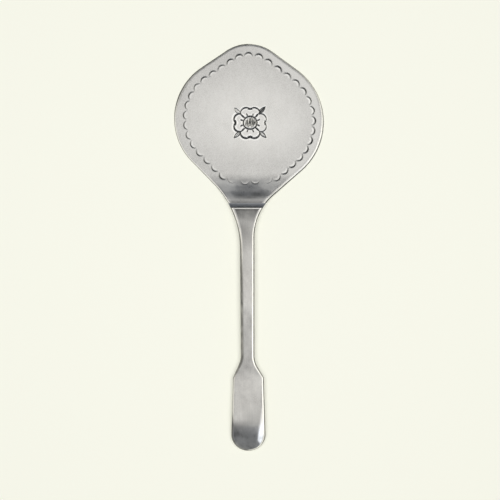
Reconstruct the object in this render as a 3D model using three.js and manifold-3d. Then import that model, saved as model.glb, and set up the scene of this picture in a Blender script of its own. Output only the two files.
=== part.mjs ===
// A flat pewter server: an engraved sheet blade with a bent neck, a cast fiddle handle and the solder
// between them.
// Millimetres. X runs across, Y along the server towards the blade's point, Z up from the table.
// The origin is on the flat underside, on the line where the blade is widest.
import * as THREE from 'three';
import { mergeVertices } from 'three/addons/utils/BufferGeometryUtils.js';
import Module from 'manifold-3d';

const wasm = await Module();
wasm.setup();

// Lengths along the server
const POINT = 44.8; // from the widest line forward to the blade's point
const LIP = 52; // from the widest line back to the handle's front lip
const HANDLE_LENGTH = 143; // from the lip to the end of the handle

// The outline was cut and its border punched by hand, so each side of blade and neck has its own arcs and
// its own step. sideAt is measured from the widest line, and neckStraight is the length of the straight cut
// between the blade's arc and the hollow of the neck. borderInset is measured from the edge to the crowns of
// the punch marks, and borderDrift is how far they run ahead of their even pitch half way down the side.
const LEFT = {
  pointRadius: 23.1,
  bladeHalf: 43.8,
  sideRadius: 36.2,
  sideAt: 0.8,
  neckRadius: 54.7,
  neckStraight: 18.15,
  stemFront: 4.95,
  stemBack: 4.45,
  borderInset: 5.4,
  borderPitch: 6.33,
  borderDrift: -0.5,
};
const RIGHT = {
  pointRadius: 24.3,
  bladeHalf: 44.5,
  sideRadius: 38.1,
  sideAt: -1.3,
  neckRadius: 33,
  neckStraight: 22.1,
  stemFront: 3.5,
  stemBack: 3.5,
  borderInset: 5,
  borderPitch: 6.45,
  borderDrift: 2.5,
};

// The handle's wide end, alike on both sides, measured from the tip of the handle
const FLARE_RADIUS = 14;
const FLARE_AT = 56.6;
const SHOULDER_AT = 43.2;
const SHOULDER_HALF = 9;
const SHOULDER_RADIUS = 1.6;
const END_RADIUS = 10;

// Thicknesses and the rounding of the edges
const SHEET = 2;
const BLADE_ROUNDING = 0.8;
const STEM_THICKNESS = 4.2;
const END_THICKNESS = 3.4;
const THINNING_AT = 75; // from the tip of the handle, where the stem starts to thin
const STEM_ROUNDING = 1.5;
const END_ROUNDING = 1.1;
const TIP_ROUNDING = 3.2;
const TIP_ROUNDING_LENGTH = 22;
const UNDERSIDE_ROUNDING = 0.6;

// The neck's bend: distances in front of the lip, and the slope at each in degrees
const NECK_AHEAD = [21, 16, 12, 10.5, 8.3, 7, 4.6];
const NECK_SLOPES = [0, 12, 19.5, 20, 24.5, 24.5, 13];
// The arch of the handle: distances behind the lip, then from the end, and the slopes there
const ARCH_BEHIND = [5, 9, 15, 20, 25, 30, 50, 55, 60];
const ARCH_SLOPES = [12.5, 9.5, 9, 7, 4.5, 2, 1, 0, -4.6];
const END_AHEAD = [47, 41];
const END_SLOPES = [-4.6, -0.5];
// The end curves down to the table: distances from the end, and slopes that are then made as much steeper,
// all in one proportion, as the end needs to touch the table
const TURN_AHEAD = [20, 16, 13.5, 11, 8, 0];
const TURN_SLOPES = [0, -5, -13, -17, -23, -30];

// The soldered lap
const LAP = 12; // how far the tongue goes under the handle
const FILM = 0.3; // solder between tongue and handle
const BUTT = 0.3; // solder behind the tongue's end
const LIP_HEIGHT = 1.8; // thickness of the handle's lip on top of the tongue
const FILLET = 2.8; // reach of the fillet in front of the lip
const FILLET_HEIGHT = 1;
const SEAT = 0.02; // clearance between solder and metal

// Punched border: small crescents that bulge outwards, in step along both sides of the blade
const CRESCENT_RADIUS = 2.6;
const CRESCENT_SPREAD = 78; // degrees to each side of the crown
const CRESCENT_WIDTH = 0.8;
// where the border crosses the neck: crowns across, in front of the lip, and the way that they face
const NECK_ROW = {
  across: [-11.1, -2, 4, 12.9],
  ahead: [15.3, 14, 14.3, 15.3],
  facing: [-125, -90, -90, -55],
};
const ENGRAVING_DEPTH = 0.25;
const STROKE_END = 0.3; // share of its width that a cut keeps at its ends

// Engraved rose with four petals, worked out for one quarter and turned; its middle is on the widest line's
// middle but for these offsets
const ROSE_X = 1;
const ROSE_Y = -1.7;
const ROSE_STRETCH = 1.07; // across, against along the server
const DISC_RADIUS = 3.75;
const LINE_WIDTH = 0.42;
const PETAL = {
  root: [5.2, 5],
  shoulder: [5.9, 7.9],
  crown: [2.6, 10.1],
  notch: [0, 8.1],
};
const NOTCH_MARK = { span: 2.2, width: 0.95 };
const SEPAL_LINE = { foot: [2.85, 2.85], tip: [4.8, 4.8] };
const LEAF = { base: [5.3, 5.2], tip: [9, 8.6], belly: 2.2 };
const STAMEN = { foot: [1.3, 4.2], tip: [1.9, 5.4] };
// slanting lines in the disc, cut off on a circle of this radius
const HATCH = { pitch: 0.95, lean: 0.5, radius: 2.65 };
const HATCHES = 5;

// Fineness of the facets
const ARC_STEP = 6; // degrees
const BEND_STEP = 1.5;
const ROUNDING_STEPS = 3;
const STROKE_STEPS = 8;

const END = -LIP - HANDLE_LENGTH;
const DEGREE = Math.PI / 180;

// The hollow circle of the neck stands beside the stem's line, as far back as the straight cut between it and
// the blade's circle asks.
function neckCircle(side, blade) {
  const x = side.stemFront + side.neckRadius;
  const radii = side.sideRadius + side.neckRadius;
  const back = Math.sqrt(radii ** 2 + side.neckStraight ** 2 - (x - blade.x) ** 2);
  return { x, y: blade.y - back, r: -side.neckRadius };
}

// One side of the outline, as circles from point to end that share tangent lines. A negative radius is
// hollow.
function circlesOf(side) {
  const blade = { x: side.bladeHalf - side.sideRadius, y: side.sideAt, r: side.sideRadius };
  return [
    { x: 0, y: POINT - side.pointRadius, r: side.pointRadius },
    blade,
    neckCircle(side, blade),
    { x: side.stemBack + FLARE_RADIUS, y: END + FLARE_AT, r: -FLARE_RADIUS },
    { x: SHOULDER_HALF - SHOULDER_RADIUS, y: END + SHOULDER_AT, r: SHOULDER_RADIUS },
    { x: 0, y: END + END_RADIUS, r: END_RADIUS },
  ];
}

// The angle of the outward normal that two circles share where one tangent line touches both.
function sharedNormal(a, b) {
  const along = Math.atan2(b.y - a.y, b.x - a.x);
  const distance = Math.hypot(b.x - a.x, b.y - a.y);
  return along + Math.acos((a.r - b.r) / distance);
}

// The side as arcs, each with the angles of its normal where it starts and stops.
function arcsOf(side) {
  const circles = circlesOf(side);
  const normals = circles.slice(1).map((circle, i) => sharedNormal(circles[i], circle));
  return circles.map((circle, i) => ({
    ...circle,
    from: i ? normals[i - 1] : Math.PI / 2,
    to: i < normals.length ? normals[i] : -Math.PI / 2,
  }));
}

// Distance from the middle line to the outline at y, with the outward normal there.
function edgeOf(arcs) {
  return (y) => {
    for (const [i, arc] of arcs.entries()) {
      const first = arc.y + arc.r * Math.sin(arc.from);
      const last = arc.y + arc.r * Math.sin(arc.to);
      if (y > first && i) return lineAt(arcs[i - 1], arc, y);
      if (y >= last) {
        const ny = THREE.MathUtils.clamp((y - arc.y) / arc.r, -1, 1);
        const nx = Math.sqrt(1 - ny * ny);
        return { x: arc.x + arc.r * nx, nx, ny };
      }
    }
    return { x: 0, nx: 0, ny: -1 };
  };
}

// The tangent line between one arc and the next, at y.
function lineAt(before, after, y) {
  const nx = Math.cos(after.from);
  const ny = Math.sin(after.from);
  const x = before.x + before.r * nx;
  const top = before.y + before.r * ny;
  return { x: x + ((top - y) * ny) / nx, nx, ny };
}

const arcs = { left: arcsOf(LEFT), right: arcsOf(RIGHT) };
const edges = { left: edgeOf(arcs.left), right: edgeOf(arcs.right) };

// Heights of the rows that follow the arcs of the outline between two places on the server.
function outlineRows(from, to) {
  const rows = [from, to];
  for (const arc of arcs.right) {
    const turn = arc.to - arc.from;
    const steps = Math.max(1, Math.ceil(Math.abs(turn) / (ARC_STEP * DEGREE)));
    for (let i = 0; i <= steps; i++) {
      rows.push(arc.y + arc.r * Math.sin(arc.from + (turn * i) / steps));
    }
  }
  for (let y = -LIP + NECK_AHEAD[0]; y > to; y -= BEND_STEP) rows.push(y);
  const inside = rows.filter((y) => y <= from && y >= to).sort((a, b) => b - a);
  const shortest = BEND_STEP / 4;
  return inside.filter((y, i) => i === 0 || y === to || (inside[i - 1] - y > shortest && y - to > shortest));
}

// A slope that eases from one station to the next, and stays level before the first.
function slopeAlong(stations) {
  return (y) => {
    const next = stations.findIndex((station) => y >= station.y);
    if (next === 0) return stations[0].slope;
    if (next < 0) return stations[stations.length - 1].slope;
    const a = stations[next - 1];
    const b = stations[next];
    return THREE.MathUtils.lerp(a.slope, b.slope, (a.y - y) / (a.y - b.y));
  };
}

// Height above the first station, by adding up short straight steps of the slope.
function riseAlong(stations) {
  const slope = slopeAlong(stations);
  return (y) => {
    const start = stations[0].y;
    if (y >= start) return 0;
    const steps = Math.ceil((start - y) / 0.25);
    const step = (start - y) / steps;
    let rise = 0;
    for (let i = 0; i < steps; i++) rise += step * Math.tan(slope(start - (i + 0.5) * step) * DEGREE);
    return rise;
  };
}

const neckStations = NECK_AHEAD.map((ahead, i) => ({ y: -LIP + ahead, slope: NECK_SLOPES[i] }));
const bladeSlope = slopeAlong(neckStations);
const bladeUnder = riseAlong(neckStations);
const bladeTop = (y) => bladeUnder(y) + SHEET / Math.cos(bladeSlope(y) * DEGREE);

// The handle's top line starts level with its lip, and its end turns down until its underside meets the
// table.
const handleStations = [
  { y: -LIP, slope: neckStations[neckStations.length - 1].slope },
  ...ARCH_BEHIND.map((behind, i) => ({ y: -LIP - behind, slope: ARCH_SLOPES[i] })),
  ...END_AHEAD.map((ahead, i) => ({ y: END + ahead, slope: END_SLOPES[i] })),
];
const turnStations = TURN_AHEAD.map((ahead, i) => ({ y: END + ahead, slope: TURN_SLOPES[i] }));
const lipTop = bladeTop(-LIP) + FILM + LIP_HEIGHT;
const archRise = riseAlong(handleStations);
const turnRise = riseAlong(turnStations);
const turnStart = turnStations[0].y;
const turnHeight = lipTop + archRise(turnStart) - END_THICKNESS;
const steepest = (turnHeight / turnRise(END)) * Math.tan(slopeAlong(turnStations)(END) * DEGREE);
// the rounded lower rim of the tip lies this much higher than a sharp one would
const rimLift = UNDERSIDE_ROUNDING * (1 + steepest - Math.hypot(1, steepest));
const turnShare = -(turnHeight + rimLift) / turnRise(END);

const handleTop = (y) => lipTop + archRise(Math.max(y, turnStart)) + turnShare * turnRise(y);

// Thickness is full along the stem, and eases to that of the end on the way to the shoulders.
function handleThickness(y) {
  const share = THREE.MathUtils.smoothstep(-y, -END - THINNING_AT, -END - SHOULDER_AT);
  return THREE.MathUtils.lerp(STEM_THICKNESS, END_THICKNESS, share);
}

const handleUnder = (y) => handleTop(y) - handleThickness(y);

// The stem's edges are full, those of the shoulders finer, and the last stretch is worked round like a thumb.
function handleRounding(y) {
  const flare = THREE.MathUtils.smoothstep(-y, -END - FLARE_AT, -END - SHOULDER_AT);
  const tip = THREE.MathUtils.smoothstep(-y, -END - TIP_ROUNDING_LENGTH, -END - END_RADIUS / 2);
  const shoulder = THREE.MathUtils.lerp(STEM_ROUNDING, END_ROUNDING, flare);
  return THREE.MathUtils.lerp(shoulder, TIP_ROUNDING, tip);
}

// The rounded edge from the underside's rim to the top's, as pairs of inset and height.
function rimOf(under, top, rounding) {
  const low = Math.min(UNDERSIDE_ROUNDING, (top - under) / 3);
  const high = Math.min(rounding, (2 * (top - under)) / 3);
  const rim = [];
  for (let i = 0; i <= ROUNDING_STEPS; i++) {
    const a = (i / ROUNDING_STEPS) * (Math.PI / 2);
    rim.push([low * (1 - Math.sin(a)), under + low * (1 - Math.cos(a))]);
  }
  for (let i = 0; i <= ROUNDING_STEPS; i++) {
    const a = (i / ROUNDING_STEPS) * (Math.PI / 2);
    rim.push([rounding * (1 - Math.cos(a)), top - high * (1 - Math.sin(a))]);
  }
  return rim;
}

// A plate between the two sides of the outline. Each row has a rounded rim at both ends and is joined to the
// next row by strips. The first and last rows are flat cuts, or close on themselves at the point and the end.
function plate(rows, under, top, rounding) {
  const sections = rows.map((y) => {
    const rim = rimOf(under(y), top(y), rounding(y));
    return ['left', 'right'].map((name, i) => {
      const outward = i ? 1 : -1;
      const edge = edges[name](y);
      const cut = edge.nx > 0.01 && (y === rows[0] || y === rows[rows.length - 1]);
      return rim.map(([inset, z]) => {
        const back = cut ? inset / edge.nx : inset * edge.nx;
        const along = cut ? 0 : inset * edge.ny;
        const lift = cut ? 0 : top(y - along) - top(y);
        return [outward * (edge.x - back), y - along, z + lift];
      });
    });
  });
  const positions = [];
  const quad = (a, b, c, d) => positions.push(...a, ...b, ...c, ...a, ...c, ...d);
  const high = sections[0][0].length - 1;
  for (let j = 0; j + 1 < sections.length; j++) {
    const [left, right] = sections[j];
    const [nextLeft, nextRight] = sections[j + 1];
    for (let k = 0; k < high; k++) {
      quad(right[k], right[k + 1], nextRight[k + 1], nextRight[k]);
      quad(left[k], nextLeft[k], nextLeft[k + 1], left[k + 1]);
    }
    quad(left[high], nextLeft[high], nextRight[high], right[high]);
    quad(left[0], right[0], nextRight[0], nextLeft[0]);
  }
  const [firstLeft, firstRight] = sections[0];
  const [lastLeft, lastRight] = sections[sections.length - 1];
  for (let k = 0; k < high; k++) {
    quad(firstLeft[k], firstLeft[k + 1], firstRight[k + 1], firstRight[k]);
    quad(lastLeft[k], lastRight[k], lastRight[k + 1], lastLeft[k + 1]);
  }
  return new THREE.BufferGeometry().setAttribute('position', new THREE.Float32BufferAttribute(positions, 3));
}

// A bar across the server whose side view is the given outline of [y, z] points.
function crossBar(points) {
  const outline = new THREE.Shape(points.map(([y, z]) => new THREE.Vector2(y, z)));
  const width = 4 * Math.max(LEFT.bladeHalf, RIGHT.bladeHalf);
  const bar = new THREE.ExtrudeGeometry(outline, { depth: width, bevelEnabled: false });
  bar.translate(0, 0, -width / 2);
  // shape x becomes Y, shape y becomes Z, and the depth becomes X
  return bar.applyMatrix4(new THREE.Matrix4().set(0, 0, 1, 0, 1, 0, 0, 0, 0, 1, 0, 0, 0, 0, 0, 1));
}

// A closed geometry as a manifold-3d solid, with its shared corners merged and flat triangles dropped.
function solid(geometry) {
  const bare = geometry.clone();
  bare.deleteAttribute('normal');
  bare.deleteAttribute('uv');
  const merged = mergeVertices(bare, 1e-4);
  const corners = merged.index ? merged.index.array : [];
  const kept = [];
  for (let i = 0; i < corners.length; i += 3) {
    const [a, b, c] = corners.slice(i, i + 3);
    if (a !== b && b !== c && c !== a) kept.push(a, b, c);
  }
  return new wasm.Manifold(
    new wasm.Mesh({
      numProp: 3,
      vertProperties: new Float32Array(merged.attributes.position.array),
      triVerts: new Uint32Array(kept),
    }),
  );
}

// A manifold-3d solid back as a geometry.
function geometryOf(shape) {
  const mesh = shape.getMesh();
  const geometry = new THREE.BufferGeometry();
  geometry.setAttribute('position', new THREE.BufferAttribute(mesh.vertProperties, 3));
  geometry.setIndex(new THREE.BufferAttribute(mesh.triVerts, 1));
  geometry.computeVertexNormals();
  return geometry;
}

// A cut along a curve in the blade's top, broadest in its middle and narrow at both ends.
function stroke(curve, width, steps = STROKE_STEPS) {
  const outward = [];
  const back = [];
  for (let i = 0; i <= steps; i++) {
    const t = i / steps;
    const point = curve.getPoint(t);
    const tangent = curve.getTangent(t);
    const half = (width / 2) * THREE.MathUtils.lerp(STROKE_END, 1, Math.sin(Math.PI * t));
    outward.push(new THREE.Vector2(point.x + tangent.y * half, point.y - tangent.x * half));
    back.unshift(new THREE.Vector2(point.x - tangent.y * half, point.y + tangent.x * half));
  }
  return cutter(new THREE.Shape([...outward, ...back]), curve.getPoint(0.5).y);
}

// The cutting solid under an outline on the blade: from the engraving's floor to well above the top at y.
function cutter(outline, y) {
  const tool = new THREE.ExtrudeGeometry(outline, {
    depth: SHEET,
    bevelEnabled: false,
    curveSegments: 2 * STROKE_STEPS,
  });
  tool.translate(0, 0, bladeTop(y) - ENGRAVING_DEPTH);
  return solid(tool);
}

// The line through the crowns of the marks down one side: the outline of blade and neck, drawn in.
function borderCurve(name, inset, outward) {
  const path = new THREE.CurvePath();
  const angleOf = (angle) => (outward > 0 ? angle : Math.PI - angle);
  for (const { x, y, r, from, to } of arcs[name].slice(0, 3)) {
    const drawn = r - inset;
    const clockwise = outward > 0 === r > 0;
    const turns = [angleOf(from), angleOf(to)];
    const bend = new THREE.EllipseCurve(outward * x, y, drawn, drawn, ...turns, clockwise);
    const before = path.curves[path.curves.length - 1];
    if (before) path.add(new THREE.LineCurve(before.getPoint(1), bend.getPoint(0)));
    path.add(bend);
  }
  return path;
}

// One punch mark whose crown is given, and the direction in which it points away from the blade's middle.
function crescent(crown, facing) {
  const spread = CRESCENT_SPREAD * DEGREE;
  const middle = crown.clone().addScaledVector(facing, -CRESCENT_RADIUS);
  const turns = [facing.angle() - spread, facing.angle() + spread];
  const arc = new THREE.EllipseCurve(middle.x, middle.y, CRESCENT_RADIUS, CRESCENT_RADIUS, ...turns, false);
  return stroke(arc, CRESCENT_WIDTH);
}

// The mark on the point, the marks that step down both sides until they reach the row, and the row itself.
function borderMarks() {
  const inset = (LEFT.borderInset + RIGHT.borderInset) / 2;
  const marks = [crescent(new THREE.Vector2(0, POINT - inset), new THREE.Vector2(0, 1))];
  const lowest = -LIP + Math.max(...NECK_ROW.ahead);
  for (const [name, side, outward] of [['left', LEFT, -1], ['right', RIGHT, 1]]) {
    const path = borderCurve(name, side.borderInset, outward);
    const share = (along) => Math.min(along / path.getLength(), 1);
    let count = 0;
    while (path.getPointAt(share((count + 1) * side.borderPitch)).y > lowest) count++;
    for (let i = 1; i <= count; i++) {
      const along = share(i * side.borderPitch + side.borderDrift * Math.sin((Math.PI * i) / count));
      const tangent = path.getTangentAt(along);
      const facing = new THREE.Vector2(-outward * tangent.y, outward * tangent.x);
      marks.push(crescent(path.getPointAt(along), facing));
    }
  }
  for (const [i, across] of NECK_ROW.across.entries()) {
    const crown = new THREE.Vector2(across, -LIP + NECK_ROW.ahead[i]);
    const turn = NECK_ROW.facing[i] * DEGREE;
    marks.push(crescent(crown, new THREE.Vector2(Math.cos(turn), Math.sin(turn))));
  }
  return marks;
}

// A place on the rose after a number of quarter turns.
function onRose([x, y], quarters) {
  const turned = new THREE.Vector2(x, y).rotateAround(new THREE.Vector2(), (quarters * Math.PI) / 2);
  return new THREE.Vector2(ROSE_X + turned.x * ROSE_STRETCH, ROSE_Y + turned.y);
}

function roseLine(foot, tip, quarters, width = LINE_WIDTH) {
  return stroke(new THREE.LineCurve(onRose(foot, quarters), onRose(tip, quarters)), width, 4);
}

// Two lobes that meet in a notch, each with its stamen, and the mark in the notch.
function petal(quarters) {
  const cuts = [1, -1].flatMap((hand) => {
    const mirrored = ([x, y]) => [hand * x, y];
    const places = [PETAL.root, PETAL.shoulder, PETAL.crown, PETAL.notch];
    const curve = new THREE.CubicBezierCurve(...places.map((place) => onRose(mirrored(place), quarters)));
    return [stroke(curve, LINE_WIDTH), roseLine(mirrored(STAMEN.foot), mirrored(STAMEN.tip), quarters)];
  });
  const [x, y] = PETAL.notch;
  const half = NOTCH_MARK.span / 2;
  return [...cuts, roseLine([x - half, y], [x + half, y], quarters, NOTCH_MARK.width)];
}

// A pointed leaf between two petals, with the line that runs in from it to the disc.
function leaf(quarters) {
  const base = onRose(LEAF.base, quarters);
  const tip = onRose(LEAF.tip, quarters);
  const across = tip.clone().sub(base).normalize().rotateAround(new THREE.Vector2(), Math.PI / 2);
  const cuts = [1, -1].map((hand) => {
    const belly = base.clone().lerp(tip, 0.35).addScaledVector(across, (hand * LEAF.belly) / 2);
    return stroke(new THREE.QuadraticBezierCurve(base, belly, tip), LINE_WIDTH);
  });
  return [...cuts, roseLine(SEPAL_LINE.foot, SEPAL_LINE.tip, quarters)];
}

// The ring round the disc, and the slanting lines in it.
function disc() {
  const middle = onRose([0, 0], 0);
  const outer = DISC_RADIUS + LINE_WIDTH / 2;
  const inner = DISC_RADIUS - LINE_WIDTH / 2;
  const ring = new THREE.Shape().absarc(middle.x, middle.y, outer, 0, 2 * Math.PI, false);
  ring.holes.push(new THREE.Path().absarc(middle.x, middle.y, inner, 0, 2 * Math.PI, true));
  const cuts = [cutter(ring, middle.y)];
  for (let i = 0; i < HATCHES; i++) {
    const x = (i - (HATCHES - 1) / 2) * HATCH.pitch;
    const y = Math.sqrt(HATCH.radius ** 2 - x ** 2);
    cuts.push(roseLine([x - HATCH.lean / 2, -y], [x + HATCH.lean / 2, y], 0));
  }
  return cuts;
}

// The blade runs on past the lip as the tongue of the lap.
const tongueEnd = -LIP - LAP;

function bladeSolid() {
  const sheet = solid(plate(outlineRows(POINT, tongueEnd), bladeUnder, bladeTop, () => BLADE_ROUNDING));
  const quarters = [0, 1, 2, 3];
  const cuts = [...borderMarks(), ...disc(), ...quarters.flatMap(petal), ...quarters.flatMap(leaf)];
  return sheet.subtract(cuts.reduce((all, cut) => all.add(cut)));
}

// The rebate under the handle's front holds the tongue, the film above it and the butt behind it.
function handleSolid() {
  const whole = solid(plate(outlineRows(-LIP, END), handleUnder, handleTop, handleRounding));
  const front = -LIP + LAP;
  const back = tongueEnd - BUTT;
  const deep = bladeUnder(-LIP) - STEM_THICKNESS;
  const rebate = crossBar([
    [front, bladeTop(front) + FILM],
    [-LIP, bladeTop(-LIP) + FILM],
    [back, bladeTop(back) + FILM],
    [back, deep],
    [front, deep],
  ].reverse());
  return whole.subtract(solid(rebate));
}

// Solder: a film over the tongue, a butt down behind its end, and a hollow fillet up against the lip.
function solderSolid() {
  const film = (y) => bladeTop(y) + FILM - SEAT;
  const seat = (y) => bladeTop(y) + SEAT;
  const front = -LIP + FILLET;
  const face = -LIP + SEAT;
  const back = tongueEnd - BUTT + SEAT;
  const behind = tongueEnd - SEAT;
  const side = [
    ...filletCurve(front, face, seat, film(face) + FILLET_HEIGHT),
    [face, film(face)],
    [back, film(back)],
    [back, bladeUnder(back)],
    [behind, bladeUnder(behind)],
    [behind, seat(behind)],
  ];
  const strip = outlineRows(front + FILLET, back - FILLET);
  const low = (y) => bladeUnder(y) - SHEET;
  const high = (y) => bladeTop(y) + LAP;
  return solid(crossBar(side)).intersect(solid(plate(strip, low, high, () => 0)));
}

// A hollow quarter of an ellipse that leaves the blade along its slope and climbs the lip to a height.
function filletCurve(front, face, seat, high) {
  const points = [];
  for (let i = 0; i <= 2 * ROUNDING_STEPS; i++) {
    const a = (i / (2 * ROUNDING_STEPS)) * (Math.PI / 2);
    const y = front + (face - front) * Math.sin(a);
    points.push([y, seat(y) + (high - seat(face)) * (1 - Math.cos(a))]);
  }
  return points;
}

function pewter(color, roughness) {
  return new THREE.MeshStandardMaterial({ color, roughness, metalness: 1 });
}

function piece(name, shape, material) {
  const mesh = new THREE.Mesh(geometryOf(shape), material);
  mesh.name = name;
  return mesh;
}

const server = new THREE.Group();
server.add(
  piece('blade', bladeSolid(), pewter(0xc9c7c2, 0.34)),
  piece('handle', handleSolid(), pewter(0xc4c3bd, 0.3)),
  piece('solder_seam', solderSolid(), pewter(0x9fa0a0, 0.42)),
);

export default server;
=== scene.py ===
"""A flat pewter server with a punched border and an engraved rose, lying on a pale table.

Sizes are in millimetres and the finished meshes in metres. X runs across the server, Y along it towards
the blade's point and Z up from the table. The origin is on the blade's underside where it is widest.
"""
import bmesh
import bpy
import numpy as np
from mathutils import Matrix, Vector


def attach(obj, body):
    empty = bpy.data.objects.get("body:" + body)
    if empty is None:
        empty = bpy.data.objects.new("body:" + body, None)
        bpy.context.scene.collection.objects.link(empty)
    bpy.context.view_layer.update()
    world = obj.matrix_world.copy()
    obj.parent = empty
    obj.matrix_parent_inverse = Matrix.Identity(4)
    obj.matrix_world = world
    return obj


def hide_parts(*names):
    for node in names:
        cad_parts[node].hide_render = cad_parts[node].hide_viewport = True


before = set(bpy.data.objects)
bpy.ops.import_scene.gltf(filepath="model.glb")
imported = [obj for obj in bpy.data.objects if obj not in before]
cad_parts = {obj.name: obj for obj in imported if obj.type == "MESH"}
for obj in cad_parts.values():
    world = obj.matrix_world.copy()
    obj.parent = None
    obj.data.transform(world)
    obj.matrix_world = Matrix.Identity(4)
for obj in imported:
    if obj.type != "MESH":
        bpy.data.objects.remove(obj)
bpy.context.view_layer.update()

MM = 0.001
SEED = 7

# Lengths along the server
POINT = 44.8
LIP = 52
HANDLE_LENGTH = 143
END = -LIP - HANDLE_LENGTH

# Each side of the outline has its own arcs, its own step of the punched border and its own rounded edges
LEFT = {
    "point_radius": 23.1, "blade_half": 43.8, "side_radius": 36.2, "side_at": 0.8,
    "neck_radius": 54.7, "neck_straight": 18.15, "stem_front": 4.95, "stem_back": 4.45,
    "border_inset": 5.4, "border_pitch": 6.33, "border_drift": -0.5,
    "blade_rounding": (1.1, 2), "stem_rounding": 1.9, "end_rounding": 1.2,
}
RIGHT = {
    "point_radius": 24.3, "blade_half": 44.5, "side_radius": 38.1, "side_at": -1.3,
    "neck_radius": 33, "neck_straight": 22.1, "stem_front": 3.5, "stem_back": 3.5,
    "border_inset": 5, "border_pitch": 6.45, "border_drift": 2.5,
    "blade_rounding": (2, 1.2), "stem_rounding": 1.6, "end_rounding": 1.4,
}

# The handle's wide end, measured from its tip
FLARE_RADIUS, FLARE_AT = 14, 56.6
SHOULDER_RADIUS, SHOULDER_AT, SHOULDER_HALF = 1.6, 43.2, 9
END_RADIUS = 10

# Thicknesses and rounded edges, the stretch where the blade's lower rounding becomes the upper one, and
# the handle's crown with the least half width that it spans
SHEET = 2
STEM_THICKNESS, END_THICKNESS, THINNING_AT = 4.2, 3.4, 75
TIP_EDGE, UNDERSIDE_ROUNDING = 0.9, 0.6
SHOULDERS = (0, 16)
HANDLE_CROWN, LEAST_CROWN_HALF = 0.2, 3

# A facet worn on the right of the handle's end, tilted to the right, inside a crease through three places,
# and the distances from the tip at which it starts and is full
FACET_CREASE = np.array([[8.7, END + 33], [5.3, END + 6.8], [7.7, END + 2.6]])
FACET_TILT, FACET_SOFTNESS = np.radians(14), 1.3
FACET_FROM, FACET_FULL = 60, 50

# Side view: slopes in degrees at distances ahead of the lip for the neck, behind it for the stem, and from
# the end for the last stretch and for the end that turns down to the table
NECK_SLOPES = [(21, 0), (16, 12), (12, 19.5), (10.5, 20), (8.3, 24.5), (7, 24.5), (4.6, 13)]
ARCH_SLOPES = [(5, 12.5), (9, 9.5), (15, 9), (20, 7), (25, 4.5), (30, 2), (50, 1), (55, 0), (60, -4.6)]
END_SLOPES = [(47, -4.6), (41, -0.5)]
TURN_SLOPES = [(20, 0), (16, -5), (13.5, -13), (11, -17), (8, -23), (0, -30)]

# Painted shade and painted highlight along the rounded edges, left and right, as rows: place along the
# server, how dark the painted shade on the outer part is, how far up it reaches and how bright the painted
# highlight above it is. Heights go from 0 on the upright side to 1 on the top.
EDGE_SHADE_AND_HIGHLIGHT = [
    np.array([
        (POINT, 0.85, 0.55, 0), (12, 0.85, 0.55, 0), (-4, 0.45, 0.45, 0.4), (-30, 0.6, 0.45, 0.8),
        (-58, 0.7, 0.45, 0.9), (-68, 0.7, 0.5, 0.55), (-84, 0.65, 0.75, 0.1), (-105, 0.6, 0.9, 0),
        (END + 47, 0.6, 0.9, 0), (END + 42, 0.35, 0.5, 0.3), (END + 24, 0.35, 0.5, 0.3),
        (END + 16, 0.8, 0.95, 0), (END, 0.6, 0.95, 0),
    ]),
    np.array([
        (POINT, 0.5, 0.5, 0), (12, 0.25, 0.5, 0.3), (4, 0.5, 0.5, 0.4), (-8, 0.75, 0.5, 1),
        (-42, 0.9, 0.5, 1), (-46, 0.9, 0.5, 0.5), (-LIP + 0.2, 0.9, 0.5, 0.5), (-LIP, 0.9, 0.5, 1),
        (END + 6, 0.9, 0.5, 1), (END + 2, 0.6, 0.35, 1), (END, 0.6, 0.6, 0.9),
    ]),
]

# The share of painted shade left on the upright side and the height where all of it is back, the borders of
# painted shade and painted highlight about the shade's reach, and where the painted highlight fades out
UPRIGHT_SHARE, UPRIGHT_BELOW = 0.4, 0.25
DARK_BORDER, BRIGHT_BORDER, BRIGHT_END = (-0.1, 0.12), (-0.05, 0.15), (0.82, 1)

# The soldered lap, and the ridges that a file left on the fillet
LAP, FILM, BUTT, LIP_HEIGHT = 12, 0.3, 0.3, 1.8
FILLET, FILLET_HEIGHT, SEAT, FEATHER = 2.8, 1, 0.02, 0.01
LIP_LAND, LIP_EDGE = 0.6, 0.15
FILE_MARK = {"pitch": 0.95, "depth": 0.015}

# Shallow dents that the hammer left on the neck: middle, reach across and along, and depth
NECK_DENTS = [
    (-4.2, -43.1, 3.6, 1.3, 0.07), (5, -42.8, 3.2, 1.2, 0.08), (0.5, -38.3, 5, 1.5, 0.05),
    (-8.5, -39.5, 3, 2, 0.06), (9.5, -40.5, 2.5, 2, 0.05), (-6, -35.6, 3.5, 1.2, 0.03),
    (5.5, -35.2, 4, 1.2, 0.03),
]

# Darker patches on the neck as middle, reach across and along, and strength, and painted shade in a band
# before the lip
NECK_DARK_PATCHES = [
    (-4.4, -44.8, 3.6, 1.3, 0.4), (5.4, -44.3, 5, 1.7, 0.5), (1.6, -45.9, 6.5, 0.9, 0.38),
    (-1, -40.5, 3, 1.5, 0.03),
]
LIP_PAINTED_SHADE, LIP_SHADE_EDGE = 0.42, (-47.3, -49.3)

# Rougher metal with a painted sheen on the sides of the neck's bend, left and right: where it starts across
# the bend's upper and lower part and eases in, where it starts and stops along the server, the strip along
# the edges, and how bright the painted sheen is. Two waves, as height and frequencies along and across, make
# its borders uneven.
SIDES_UPPER, SIDES_LOWER, SIDES_EASE, SIDES_CHANGE = 2, (5, 7.5), 9, (-40, -43)
SIDES_FROM, SIDES_TO = (-34, -37), (-44, -50)
STRIP, STRIP_FROM = (3, 0.8), (-40, -46)
SIDES_PAINTED_SHEEN, RIPPLE, WAVE = (0.95, 0.65), (0.7, 1.9), (0.5, 0.9, 1.5)

# The margin outside the border, by distance from the outline, and where it carries a painted sheen
MARGIN = (6.4, 4.6)
MARGIN_PAINTED_SHEEN, MARGIN_ACROSS, MARGIN_ALONG = 0.35, (-10, 25), (-38, -26)

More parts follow.
